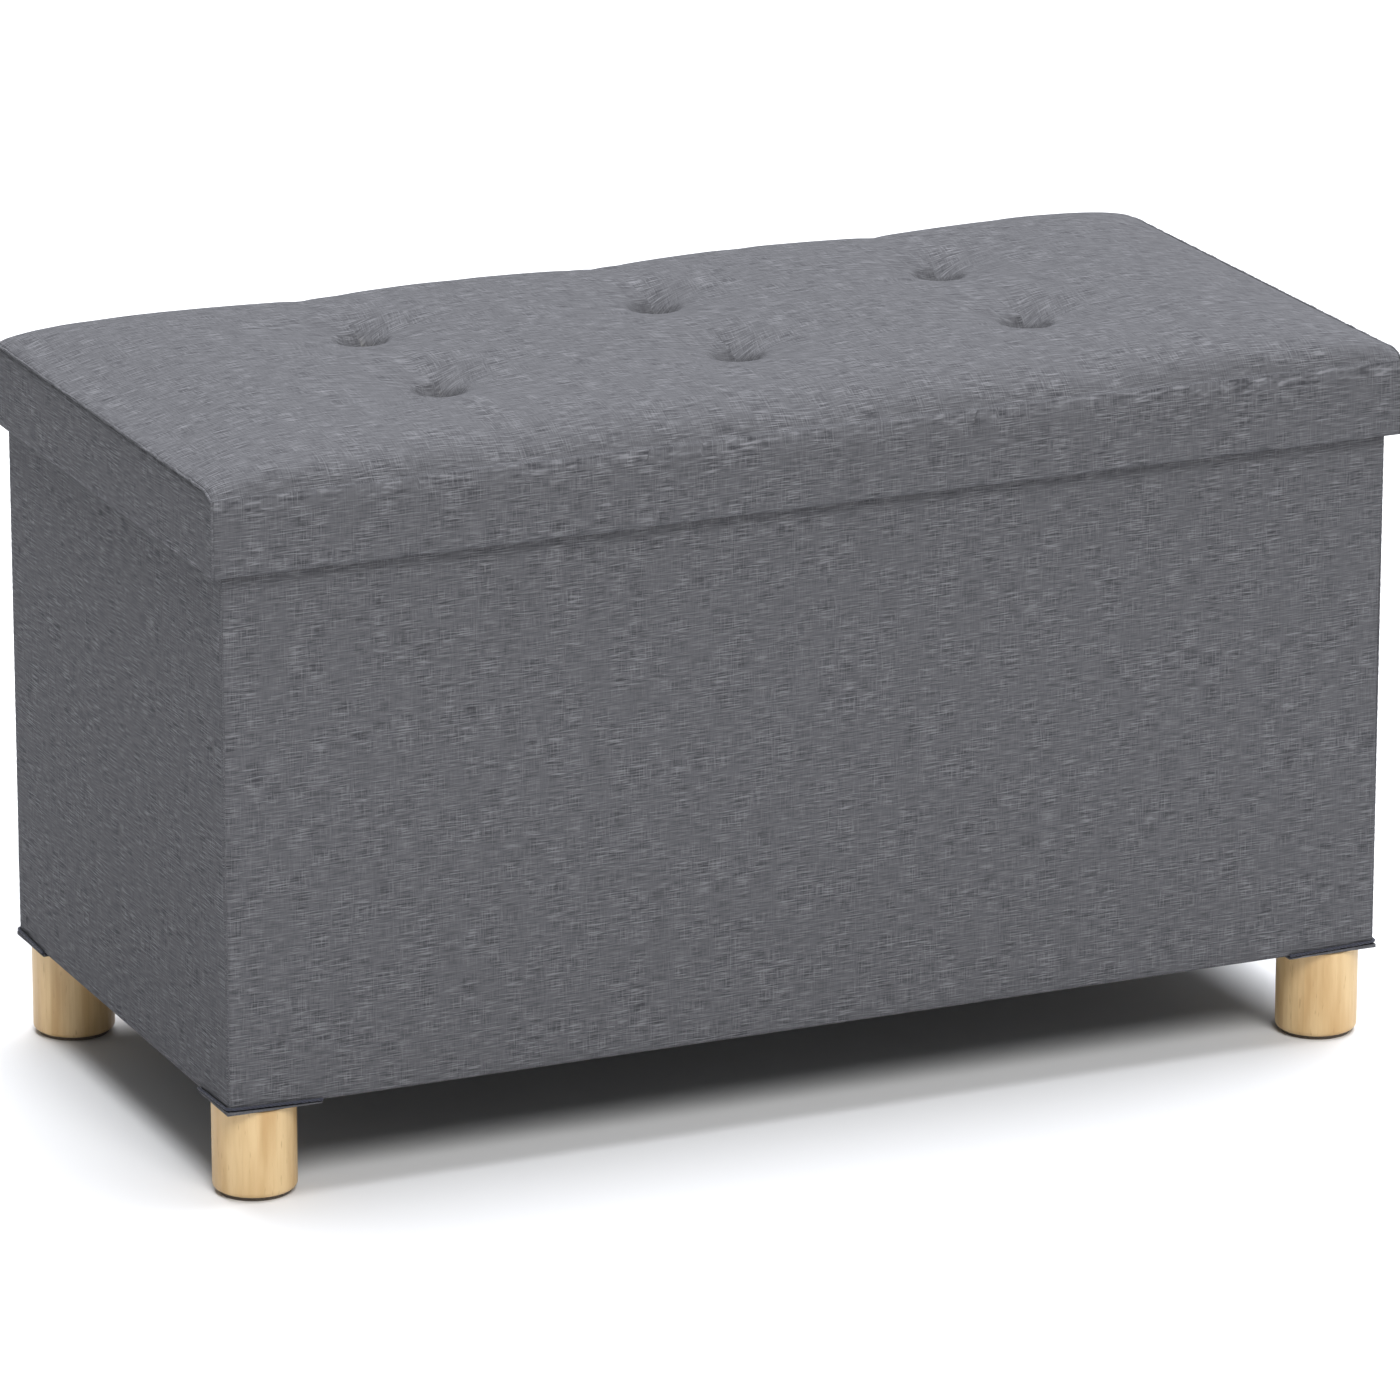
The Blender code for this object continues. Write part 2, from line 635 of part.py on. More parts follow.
def main():
    clear_scene()
    parts = make_collection("storage_bench")
    cutters = make_collection("cutters")
    add_body_cover(parts)
    add_long_panels(parts)
    add_short_panels(parts)
    add_inner_lining(parts)
    add_base_board(parts, cutters)
    add_base_board_cover(parts, cutters)
    for place in LEG_PLACES:
        add_corner_patch(place, parts, cutters)
        add_corner_binding(place, parts)
        add_leg(place, parts)
        add_leg_glide(place, parts)
        add_leg_bolt(place, parts)
        add_leg_insert(place, parts)
    add_lid_board(parts, cutters)
    add_lid_skirts(parts)
    add_lid_lining(parts)
    add_lid_foam(parts, cutters)
    add_lid_main_fabric(parts, cutters)
    add_lid_side_fabric("lid_side_fabric_left", -1, parts)
    add_lid_side_fabric("lid_side_fabric_right", 1, parts)
    add_tuft_ties(parts)


main()
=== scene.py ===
"""Looks of an upholstered storage bench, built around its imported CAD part.

Soft fabric, padding, seams and finishes are made here. The boards, legs and fittings are the CAD part's
own nodes. Units are metres, +Z is up, +X runs along the bench and -Y is its front.
"""

import math

import bmesh
import bpy
import numpy as np
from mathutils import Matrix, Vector, noise


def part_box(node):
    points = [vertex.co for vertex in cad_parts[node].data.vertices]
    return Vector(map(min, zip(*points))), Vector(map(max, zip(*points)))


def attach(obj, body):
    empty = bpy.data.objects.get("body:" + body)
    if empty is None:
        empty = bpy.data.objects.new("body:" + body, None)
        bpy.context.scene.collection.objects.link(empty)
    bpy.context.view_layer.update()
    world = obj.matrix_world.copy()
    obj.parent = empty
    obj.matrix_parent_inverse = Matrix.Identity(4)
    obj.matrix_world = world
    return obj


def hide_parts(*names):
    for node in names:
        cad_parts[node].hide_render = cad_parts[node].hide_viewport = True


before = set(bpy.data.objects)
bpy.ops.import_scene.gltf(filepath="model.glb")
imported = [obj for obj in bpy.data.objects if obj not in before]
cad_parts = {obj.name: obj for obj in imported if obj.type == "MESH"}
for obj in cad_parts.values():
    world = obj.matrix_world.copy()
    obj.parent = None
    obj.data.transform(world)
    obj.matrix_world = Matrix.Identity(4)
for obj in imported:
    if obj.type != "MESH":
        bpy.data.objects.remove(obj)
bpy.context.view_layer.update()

# Places taken from the CAD part. The end panels' CAD solids stop a little under the seam along their tops.
SEAM_ABOVE_END = 0.0021
LID_LOW, LID_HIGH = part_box("lid_main_fabric")
FOAM_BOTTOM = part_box("lid_foam")[0].z
BODY_LOW, BODY_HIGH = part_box("body_cover")
LID_X, LID_Y, LID_BOTTOM = LID_HIGH.x, LID_HIGH.y, LID_LOW.z
BODY_X, BODY_Y, BODY_BOTTOM, RIM_TOP = BODY_HIGH.x, BODY_HIGH.y, BODY_LOW.z, BODY_HIGH.z
SEAM_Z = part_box("lid_side_fabric_right")[1].z + SEAM_ABOVE_END
PLACES = {"front_left": (-1, -1), "front_right": (1, -1), "back_left": (-1, 1), "back_right": (1, 1)}
SIDES = {"left": -1, "right": 1}
ROWS, COLUMNS = ("front", "back"), ("left", "middle", "right")


def tuft_centre(row, column):
    low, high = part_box(f"tuft_tie_{row}_{column}")
    return (low + high) / 2


TUFTS = [tuft_centre(row, column) for row in ROWS for column in COLUMNS]
KNOT_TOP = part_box("tuft_tie_front_left")[1].z
PIT_Z = KNOT_TOP - 0.0018  # the fabric's outer face under each knot

CLOTH = 0.0012  # thickness of the upholstery fabric

# The lid's padding and main fabric
STEP = 0.004  # spacing of the fabric's grid
FINE_STEP, FINE_REACH = 0.002, 0.026  # closer grid round each tuft
ROLL = 0.013  # how far in from the front face the fabric has turned level
ROLL_START, ROLL_STEPS = 0.4215, 5  # height where the fabric starts to turn, and its rows on the way
EDGE_RISE, MIDDLE_RISE = 0.0075, 0.0035  # padding above the seams: all over, and added in the middle
NOTCH_DEPTH, NOTCH_INSIDE = 0.0036, 0.15  # troughs through the tufts: at the edges, and their share inside

# The tufts
KNOT_REACH = 0.0026  # round each tie, the fabric is held flat
PIT_FLOOR, PIT_REACH = 0.0045, 0.0185  # where each pit's wall starts and ends, from its middle
PIT_CLOTH_DEPTH = 0.020  # the depth that each pit's extra cloth is cut for
DISH_REACH, DISH_DEPTH = 0.040, 0.0014  # shallow hollow round each pit
# Each tuft pulls a fan-shaped dent behind it, deepest at its left side, where it ends in a step.
FAN_RIGHT, FAN_LEFT, FAN_LEFT_SOFT = 8, 98, 3  # degrees: its two sides, and the width of the step
FAN_DEPTH, FAN_REACH, FAN_RISE = 0.0150, 0.044, 0.010  # how deep, how far, and how soon it deepens
FAN_SHIFT = 0.0060  # the dent's corner lies this far right of the tuft
# Folds that leave the dent's corner: direction in degrees, depth, reach, and widths on their left and right
FOLDS = (
    (20, 0.0016, 0.052, 0.0035, 0.0012),
    (166, 0.0014, 0.036, 0.0012, 0.0040),
)
FOLD_RISE = 0.006  # each fold deepens over this stretch
MOST_SWAY = 6  # degrees by which a tuft's dent and folds may turn from these directions

# The cloth simulation
SIM_FRAMES = 18
SMOOTHING_ROUNDS = 3
MOST_PUFF = 0.007  # no point moves further than this

# The other sheets
PAD_GAP, PAD_INSET = 0.0032, 0.0031  # foam to fabric: under it, and in from the lid's faces
END_TURN_IN = 0.0045  # how far each end panel turns in under its skirt
BOX_CORNER = 0.003  # radius of the box's sewn corners
BOX_HEM, BOX_RIM = 0.0105, 0.0108  # how far the box's fabric is turned in, below and above
BOX_FOLD = 0.0022  # size of the curve at each turn
TAPE_RADIUS, TAPE_BEND = 0.0009, 0.004


# ---- Materials -----------------------------------------------------------------------------------------


class Shader:
    """Builds one material's nodes. Every method returns the socket that carries its result."""

    def __init__(self, name, roughness, metallic=0.0, sheen=0.0):
        self.material = bpy.data.materials.new(name)
        self.material.use_nodes = True
        self.tree = self.material.node_tree
        self.surface = self.tree.nodes["Principled BSDF"]
        self.surface.inputs["Roughness"].default_value = roughness
        self.surface.inputs["Metallic"].default_value = metallic
        self.surface.inputs["Sheen Weight"].default_value = sheen
        self.surface.inputs["Sheen Roughness"].default_value = 0.5

    def _put(self, socket, value):
        if isinstance(value, bpy.types.NodeSocket):
            self.tree.links.new(value, socket)
        else:
            socket.default_value = value

    def place(self, kind, scale):
        """Coordinates of this kind ("Object" or "UV"), stretched by scale."""
        coordinates = self.tree.nodes.new("ShaderNodeTexCoord")
        mapping = self.tree.nodes.new("ShaderNodeMapping")
        mapping.inputs["Scale"].default_value = scale
        self.tree.links.new(coordinates.outputs[kind], mapping.inputs["Vector"])
        return mapping.outputs["Vector"]

    def noise(self, vector, scale=1.0, detail=2.0, roughness=0.5):
        node = self.tree.nodes.new("ShaderNodeTexNoise")
        node.inputs["Scale"].default_value = scale
        node.inputs["Detail"].default_value = detail
        node.inputs["Roughness"].default_value = roughness
        self.tree.links.new(vector, node.inputs["Vector"])
        return node.outputs["Fac"]

    def wave(self, vector, direction, scale=1.0, distortion=0.0):
        node = self.tree.nodes.new("ShaderNodeTexWave")
        node.bands_direction = direction
        node.inputs["Scale"].default_value = scale
        node.inputs["Distortion"].default_value = distortion
        self.tree.links.new(vector, node.inputs["Vector"])
        return node.outputs["Fac"]

    def span(self, value, low, high, to_low=0.0, to_high=1.0):
        """The value's run from low to high, stretched to to_low to to_high, and held at the ends."""
        node = self.tree.nodes.new("ShaderNodeMapRange")
        node.interpolation_type = "SMOOTHSTEP"
        self._put(node.inputs["Value"], value)
        for name, number in zip(("From Min", "From Max", "To Min", "To Max"), (low, high, to_low, to_high)):
            node.inputs[name].default_value = number
        return node.outputs["Result"]

    def combine(self, a, b, operation="ADD"):
        node = self.tree.nodes.new("ShaderNodeMath")
        node.operation = operation
        self._put(node.inputs[0], a)
        self._put(node.inputs[1], b)
        return node.outputs["Value"]

    def mix(self, share, first, second):
        node = self.tree.nodes.new("ShaderNodeMix")
        node.data_type = "RGBA"
        self._put(node.inputs["Factor"], share)
        for socket, colour in (("A", first), ("B", second)):
            found = next(i for i in node.inputs if i.name == socket and i.type == "RGBA")
            self._put(found, (*colour, 1.0) if isinstance(colour, tuple) else colour)
        return next(o for o in node.outputs if o.type == "RGBA")

    def colour(self, value):
        self._put(self.surface.inputs["Base Color"], (*value, 1.0) if isinstance(value, tuple) else value)

    def roughness(self, value):
        self._put(self.surface.inputs["Roughness"], value)

    def bump(self, height, distance, strength=1.0):
        node = self.tree.nodes.new("ShaderNodeBump")
        node.inputs["Distance"].default_value = distance
        node.inputs["Strength"].default_value = strength
        self.tree.links.new(height, node.inputs["Height"])
        self.tree.links.new(node.outputs["Normal"], self.surface.inputs["Normal"])


def linen(name, dark, mid, light):
    """Linen-look weave in UV metres: pale and dark slubs along the length, fainter ones across it."""
    shader = Shader(name, 0.95)
    shader.surface.inputs["Specular IOR Level"].default_value = 0.15
    metres = shader.place("UV", (1, 1, 1))
    weft = shader.noise(shader.place("UV", (75, 1250, 1)), 1.0, 2.0, 0.6)
    warp = shader.noise(shader.place("UV", (1250, 80, 1)), 1.0, 2.0, 0.6)
    patches = shader.noise(metres, 45.0, 2.0)
    bold = shader.span(patches, 0.35, 0.65, 0.45, 1.0)
    pale_weft = shader.combine(shader.span(weft, 0.51, 0.67), bold, "MULTIPLY")
    dark_weft = shader.combine(shader.span(weft, 0.49, 0.34), bold, "MULTIPLY")
    pale_warp = shader.combine(shader.span(warp, 0.53, 0.70), bold, "MULTIPLY")
    dark_warp = shader.combine(shader.span(warp, 0.47, 0.32), bold, "MULTIPLY")
    base = shader.mix(shader.combine(dark_weft, 0.95, "MULTIPLY"), mid, dark)
    base = shader.mix(shader.combine(dark_warp, 0.55, "MULTIPLY"), base, dark)
    base = shader.mix(shader.combine(pale_warp, 0.4, "MULTIPLY"), base, light)
    shader.colour(shader.mix(shader.combine(pale_weft, 0.8, "MULTIPLY"), base, light))
    threads = shader.combine(shader.wave(metres, "Y", 420.0, 1.5), shader.wave(metres, "X", 420.0, 1.5))
    shader.bump(shader.combine(shader.combine(weft, warp), shader.combine(threads, 0.2, "MULTIPLY")), 0.0004)
    return shader.material


def non_woven():
    """Black spun-bonded lining with its embossed grid of small dots."""
    shader = Shader("non_woven_lining", 0.85)
    metres = shader.place("UV", (1, 1, 1))
    dots = shader.combine(shader.wave(metres, "X", 120.0), shader.wave(metres, "Y", 120.0), "MULTIPLY")
    fibres = shader.noise(metres, 900.0, 3.0)
    shader.colour(shader.mix(shader.span(fibres, 0.35, 0.7), (0.011, 0.011, 0.013), (0.036, 0.036, 0.040)))
    shader.bump(shader.combine(dots, fibres), 0.00025)
    return shader.material


def foam_open_cell():
    shader = Shader("open_cell_foam", 0.95)
    metres = shader.place("Object", (1, 1, 1))
    cells = shader.noise(metres, 700.0, 2.0)
    shade = shader.noise(metres, 14.0, 2.0)
    warm = shader.mix(shader.span(shade, 0.3, 0.7), (0.74, 0.66, 0.44), (0.86, 0.80, 0.60))
    shader.colour(shader.mix(shader.span(cells, 0.5, 0.3), warm, (0.46, 0.38, 0.22)))
    shader.bump(cells, 0.0008)
    return shader.material


def tape():
    """Dark navy bias tape with a fine diagonal rib."""
    shader = Shader("navy_bias_tape", 0.7, sheen=0.1)
    ribs = shader.wave(shader.place("Object", (1, 1, 1)), "DIAGONAL", 260.0, 1.0)
    shader.colour(shader.mix(ribs, (0.007, 0.008, 0.017), (0.022, 0.025, 0.046)))
    shader.bump(ribs, 0.0002)
    return shader.material


def pale_wood():
    """Satin pale wood with its soft grain running up the leg."""
    shader = Shader("pale_wood", 0.42)
    grain = shader.noise(shader.place("Object", (75, 75, 11)), 1.0, 3.0, 0.5)
    fibres = shader.noise(shader.place("Object", (1300, 1300, 60)), 1.0, 2.0)
    flecks = shader.noise(shader.place("Object", (620, 620, 95)), 1.0, 1.0)
    tone = shader.mix(shader.span(grain, 0.30, 0.70), (0.52, 0.325, 0.135), (0.70, 0.505, 0.265))
    tone = shader.mix(shader.span(fibres, 0.5, 0.8, 0.0, 0.22), tone, (0.50, 0.30, 0.12))
    shader.colour(shader.mix(shader.span(flecks, 0.66, 0.76, 0.0, 0.4), tone, (0.34, 0.19, 0.07)))
    shader.roughness(shader.span(grain, 0.3, 0.7, 0.36, 0.52))
    shader.bump(fibres, 0.00006)
    return shader.material


def fibreboard():
    shader = Shader("raw_fibreboard", 0.82)
    metres = shader.place("Object", (1, 1, 1))
    fibres = shader.noise(metres, 620.0, 4.0, 0.7)
    shade = shader.noise(metres, 9.0, 2.0)
    warm = shader.mix(shader.span(shade, 0.3, 0.7), (0.34, 0.225, 0.125), (0.43, 0.30, 0.18))
    shader.colour(shader.mix(shader.span(fibres, 0.4, 0.7, 0.0, 0.55), warm, (0.56, 0.42, 0.27)))
    shader.bump(fibres, 0.0003)
    return shader.material


def pressed_felt():
    shader = Shader("pressed_felt", 0.97, sheen=0.3)
    hairs = shader.noise(shader.place("Object", (1, 1, 2)), 1500.0, 4.0, 0.7)
    shader.colour(shader.mix(shader.span(hairs, 0.35, 0.7), (0.07, 0.055, 0.042), (0.20, 0.165, 0.130)))
    shader.bump(hairs, 0.0004)
    return shader.material


def twisted_twine():
    shader = Shader("waxed_twine", 0.8)
    plies = shader.wave(shader.place("Object", (1, 1, 1)), "DIAGONAL", 420.0, 0.5)
    shader.colour(shader.mix(plies, (0.030, 0.030, 0.034), (0.075, 0.075, 0.082)))
    shader.bump(plies, 0.0002)
    return shader.material


def zinc_plate():
    shader = Shader("zinc_plated_steel", 0.35, metallic=1.0)
    spangle = shader.noise(shader.place("Object", (1, 1, 1)), 260.0, 3.0)
    shader.colour(shader.mix(spangle, (0.50, 0.50, 0.49), (0.74, 0.74, 0.71)))
    shader.roughness(shader.span(spangle, 0.3, 0.7, 0.25, 0.45))
    shader.bump(spangle, 0.00008)
    return shader.material


FABRIC = linen("grey_linen", (0.042, 0.042, 0.047), (0.098, 0.098, 0.105), (0.205, 0.205, 0.217))
NON_WOVEN = non_woven()
FOAM = foam_open_cell()
TAPE = tape()
WOOD = pale_wood()
BOARD = fibreboard()
FELT = pressed_felt()
TWINE = twisted_twine()
ZINC = zinc_plate()


# ---- Building blocks -----------------------------------------------------------------------------------


def add_piece(name, mesh, material, body, stands_for=()):
    """A visual piece that moves with a CAD body."""
    obj = bpy.data.objects.new(name, mesh)
    bpy.context.scene.collection.objects.link(obj)
    mesh.materials.clear()
    mesh.materials.append(material)
    mesh.shade_smooth()
    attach(obj, body)
    if stands_for:
        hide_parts(*stands_for)
    return obj


def coordinates_of(mesh):
    points = np.empty(len(mesh.vertices) * 3, np.float32)
    mesh.vertices.foreach_get("co", points)
    return points.reshape(-1, 3).astype(float)


def set_coordinates(mesh, points):
    mesh.vertices.foreach_set("co", points.astype(np.float32).ravel())
    mesh.update()


def set_weave(mesh, places):
    """UV in metres from two numbers for each vertex."""
    layer = mesh.uv_layers.new(name="weave")
    corners = np.empty(len(mesh.loops), np.int32)
    mesh.loops.foreach_get("vertex_index", corners)
    layer.data.foreach_set("uv", np.asarray(places, np.float32)[corners].ravel())


def set_box_weave(mesh):
    """UV in metres, projected on each face along the axis it faces most."""
    layer = mesh.uv_layers.new(name="weave")
    for face in mesh.polygons:
        facing = max(range(3), key=lambda axis: abs(face.normal[axis]))
        u_axis, v_axis = ((1, 2), (0, 2), (0, 1))[facing]
        for corner in face.loop_indices:
            point = mesh.vertices[mesh.loops[corner].vertex_index].co
            layer.data[corner].uv = (point[u_axis], point[v_axis])


def grid_mesh(name, points, cut):
    """A mesh over a grid of points, indexed [column][row], with its place in the flat cut as its UV."""
    columns, rows = points.shape[:2]
    faces = []
    for c in range(columns - 1):
        for r in range(rows - 1):
            corner, following = c * rows + r, (c + 1) * rows + r
            faces.append((corner, following, following + 1, corner + 1))
    mesh = bpy.data.meshes.new(name)
    mesh.from_pydata(points.reshape(-1, 3).tolist(), [], faces)
    set_weave(mesh, cut.reshape(-1, 2))
    return mesh


def ripple(x, y, z, scale, seed=0.0):
    """Smooth noise from -1 to 1 at a point, with waves about 1 / scale metres long."""
    return noise.noise(Vector((x * scale + seed, y * scale - seed, z * scale + 2 * seed)))


def thicken(obj, thickness):
    """Thickness on the inner side of a sheet."""
    modifier = obj.modifiers.new("thickness", "SOLIDIFY")
    modifier.thickness = thickness
    modifier.offset = -1.0


def soft_copy(name, node, material, body, slot, wobble, wave, step, seed):
    """A slightly uneven copy of a thin CAD sheet, for lining and patches, in triangles about a step long."""
    shape = bmesh.new()
    shape.from_mesh(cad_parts[node].data)
    bmesh.ops.remove_doubles(shape, verts=shape.verts, dist=0.00001)
    bmesh.ops.dissolve_limit(shape, angle_limit=0.01, verts=shape.verts, edges=shape.edges)
    bmesh.ops.triangulate(shape, faces=[face for face in shape.faces if len(face.verts) > 4])
    most_rounds = 7
    for _ in range(most_rounds):
        long_edges = [edge for edge in shape.edges if edge.calc_length() > step]
        if not long_edges:
            break
        bmesh.ops.subdivide_edges(shape, edges=long_edges, cuts=1, use_grid_fill=True)
        bmesh.ops.triangulate(shape, faces=[face for face in shape.faces if len(face.verts) > 4])
    for vert in shape.verts:
        x, y, z = vert.co
        swell = Vector(ripple(x, y, z, wave, seed + turn) for turn in (0.0, 11.0, 23.0))
        vert.co += swell * wobble
    mesh = bpy.data.meshes.new(name)
    shape.to_mesh(mesh)
    shape.free()
    set_box_weave(mesh)
    add_piece(name, mesh, material, body, [node])
    mesh.set_sharp_from_angle(angle=math.radians(40))


def tube_mesh(name, path, radius_at):
    """A round cord along a path. radius_at takes the distance along it."""
    sides = 8
    shape = bmesh.new()
    rings, travelled = [], 0.0
    for i, point in enumerate(path):
        ahead, behind = path[min(i + 1, len(path) - 1)], path[max(i - 1, 0)]
        along = (ahead - behind).normalized()
        side = along.cross(Vector((0.31, 0.52, 0.79))).normalized()
        other = along.cross(side)
        travelled += (point - behind).length
        radius = radius_at(travelled)
        ring = []
        for step in range(sides):
            turn = 2 * math.pi * step / sides
            offset = side * math.cos(turn) + other * math.sin(turn)
            ring.append(shape.verts.new(point + offset * radius))
        rings.append(ring)
    for ring, following in zip(rings, rings[1:]):
        for step in range(sides):
            after = (step + 1) % sides
            shape.faces.new((ring[step], ring[after], following[after], following[step]))
    shape.faces.new(reversed(rings[0]))
    shape.faces.new(rings[-1])
    bmesh.ops.recalc_face_normals(shape, faces=shape.faces)
    mesh = bpy.data.meshes.new(name)
    shape.to_mesh(mesh)
    shape.free()
    set_box_weave(mesh)
    return mesh


# ---- Lid -----------------------------------------------------------------------------------------------


def padding_height(x, y):
    """Height of the padding's smooth top, away from its rolled edges."""
    end = math.sqrt(max(0.0, 1 - abs(x / LID_X) ** 12))
    middle = 1 - (y / LID_Y) ** 2
    length = 1 - (x / LID_X) ** 4
    return SEAM_Z + end * (EDGE_RISE + MIDDLE_RISE * middle * length)


def pit_share(away):
    """How deep a tuft's pit is at a distance from its middle: 1 on its floor, 0 past its steep wall."""
    share = np.clip((away - PIT_FLOOR) / (PIT_REACH - PIT_FLOOR), 0, 1)
    return 1 - share * share * (3 - 2 * share)


def tuft_dip(x, y):
    """How far the tufts pull the fabric down at (x, y)."""
    dip = 0.0
    for tuft in TUFTS:
        away = math.hypot(x - tuft.x, y - tuft.y)
        depth = padding_height(tuft.x, tuft.y) - PIT_Z - DISH_DEPTH
        pit = depth * pit_share(away)
        dip = max(dip, pit + DISH_DEPTH * (1 - min(1.0, away / DISH_REACH)) ** 2)
    return dip


def trough_dip(x, y):
    """Troughs from front to back through the tufts, with the padding swelling in an arc between them."""
    edges = [-LID_X, *(tuft.x for tuft in TUFTS[:3]), LID_X]
    for start, end in zip(edges, edges[1:]):
        if start <= x <= end:
            share = (x - start) / (end - start)
            break
    if start == -LID_X or end == LID_X:
        towards_tuft = share if start == -LID_X else 1 - share
        arc = 1 - towards_tuft**3
    else:
        arc = 4 * share * (1 - share)
    near_edge = abs(y / LID_Y) ** 3
    return NOTCH_DEPTH * (1 - arc) * (NOTCH_INSIDE + (1 - NOTCH_INSIDE) * near_edge)


def grid_places(half, step, centres):
    """Places from -half to half, closer together near the centres."""
    places = [-half]
    while places[-1] < half - 1e-6:
        near = min(abs(places[-1] + step / 2 - centre) for centre in centres)
        places.append(places[-1] + (FINE_STEP if near < FINE_REACH else step))
    return np.interp(places, (-half, places[-1]), (-half, half))


def profile_rows():
    """(y, rise, is_wall) for each row of the main fabric, from its front hem to its back hem.

    The rise is the row's height on a wall, and elsewhere its share of the padding's height.
    """
    wall = [(-LID_Y, height, True) for height in np.arange(LID_BOTTOM, ROLL_START - 0.001, STEP)]
    roll = []
    for step in range(ROLL_STEPS):
        turn = math.radians(90 * step / ROLL_STEPS)
        roll.append((-LID_Y + ROLL * (1 - math.cos(turn)), math.sin(turn), False))
    inner = LID_Y - ROLL
    top = [(y, 1.0, False) for y in grid_places(inner, STEP, [TUFTS[0].y, TUFTS[-1].y])]
    front = wall + roll
    return front + top + [(-y, rise, is_wall) for y, rise, is_wall in reversed(front)]


def main_fabric_points():
    """Starting points of the main fabric, its cut in flat metres, and which points are held.

    The cut's length from front to back is the fabric's own between two tufts.
    """
    rows = profile_rows()
    columns = grid_places(LID_X, STEP, [tuft.x for tuft in TUFTS[:3]])
    points = np.zeros((len(columns), len(rows), 3))
    held = np.zeros((len(columns), len(rows)), bool)
    for c, x in enumerate(columns):
        at_seam = c in (0, len(columns) - 1)
        for r, (y, rise, is_wall) in enumerate(rows):
            under_knot = any(math.hypot(x - tuft.x, y - tuft.y) < KNOT_REACH for tuft in TUFTS)
            if is_wall:
                z = rise
            elif under_knot:
                z = PIT_Z
            else:
                level = max(-LID_Y + ROLL, min(y, LID_Y - ROLL))
                top = padding_height(x, level)
                z = ROLL_START + (top - ROLL_START) * rise
                z -= (tuft_dip(x, y) + trough_dip(x, y)) * rise * (not at_seam)
            points[c, r] = (x, y, z)
            held[c, r] = is_wall or under_knot or at_seam
    between = points[np.argmin(np.abs(columns - (TUFTS[0].x + TUFTS[1].x) / 2))]
    run = np.concatenate([[0.0], np.cumsum(np.linalg.norm(np.diff(between, axis=0), axis=1))])
    cut = np.stack(np.broadcast_arrays(columns[:, None], run[None, :]), axis=-1)
    return points, cut, held


def inflate(obj, held):
    """Lets the fabric swell between the points where it is held, as a cloth simulation.

    How far each point moves is then smoothed and limited.
    """
    group = obj.vertex_groups.new(name="held")
    group.add([int(i) for i in np.flatnonzero(held.ravel())], 1.0, "REPLACE")
    before = coordinates_of(obj.data)
    modifier = obj.modifiers.new("swell", "CLOTH")
    settings = modifier.settings
    settings.quality = 6
    settings.mass = 0.25
    settings.tension_stiffness = settings.compression_stiffness = 18
    settings.shear_stiffness = 6
    settings.bending_stiffness = 1.5
    settings.vertex_group_mass = "held"
    settings.shrink_min = -0.005
    settings.use_pressure = True
    settings.uniform_pressure_force = 3.2
    settings.effector_weights.gravity = 0.0
    modifier.collision_settings.use_collision = False
    modifier.point_cache.frame_start, modifier.point_cache.frame_end = 1, SIM_FRAMES
    scene = bpy.context.scene
    for moment in range(1, SIM_FRAMES + 1):
        scene.frame_set(moment)
    graph = bpy.context.evaluated_depsgraph_get()
    swollen = coordinates_of(obj.evaluated_get(graph).data)
    obj.modifiers.remove(modifier)
    scene.frame_set(1)
    moved = (swollen - before).reshape(*held.shape, 3)
    for _ in range(SMOOTHING_ROUNDS):
        near = np.pad(moved, ((1, 1), (1, 1), (0, 0)), "edge")
        around = near[:-2, 1:-1] + near[2:, 1:-1] + near[1:-1, :-2] + near[1:-1, 2:]
        moved = np.where(held[..., None], 0.0, (moved + around) / 5)
    moved = moved.reshape(-1, 3)
    length = np.linalg.norm(moved, axis=1, keepdims=True)
    eased = MOST_PUFF * np.tanh(length / MOST_PUFF)
    set_coordinates(obj.data, before + moved * eased / np.maximum(length, 1e-9))


def fan_dent(turn, away):
    """Depth of a tuft's fan-shaped dent, in a direction in degrees and at a distance from its corner."""
    fan = np.clip((turn - FAN_RIGHT) / (FAN_LEFT - FAN_RIGHT), 0, 1)
    fan *= np.clip((FAN_LEFT - turn) / FAN_LEFT_SOFT + 0.5, 0, 1)
    fan *= np.clip(away / FAN_RISE, 0, 1) * np.clip(1 - away / FAN_REACH, 0, 1) ** 1.3
    return FAN_DEPTH * fan


def crease(points):
    """Pulls down the dent and the folds that leave each tuft. A fold's two sides differ in width."""
    for index, tuft in enumerate(TUFTS):
        dx, dy = points[:, 0] - tuft.x - FAN_SHIFT, points[:, 1] - tuft.y
        top = points[:, 2] > ROLL_START
        away = np.hypot(dx, dy)
        sway = MOST_SWAY * ripple(index, 0, 0, 3.7, 1.0)
        pulled = fan_dent(np.degrees(np.arctan2(dy, dx)) - sway, away)
        for direction, depth, reach, left_width, right_width in FOLDS:
            angle = math.radians(direction + sway)
            along = dx * math.cos(angle) + dy * math.sin(angle)
            beside = -dx * math.sin(angle) + dy * math.cos(angle)
            width = np.where(beside > 0, left_width, right_width)
            fade = np.clip(1 - away / reach, 0, 1) * np.clip(away / FOLD_RISE, 0, 1)
            fold = np.exp(-np.abs(beside) / width) * (along > 0)
            pulled += depth * fold * fade
        points[:, 2] = np.where(top, np.maximum(points[:, 2] - pulled, PIT_Z), points[:, 2])
    return points


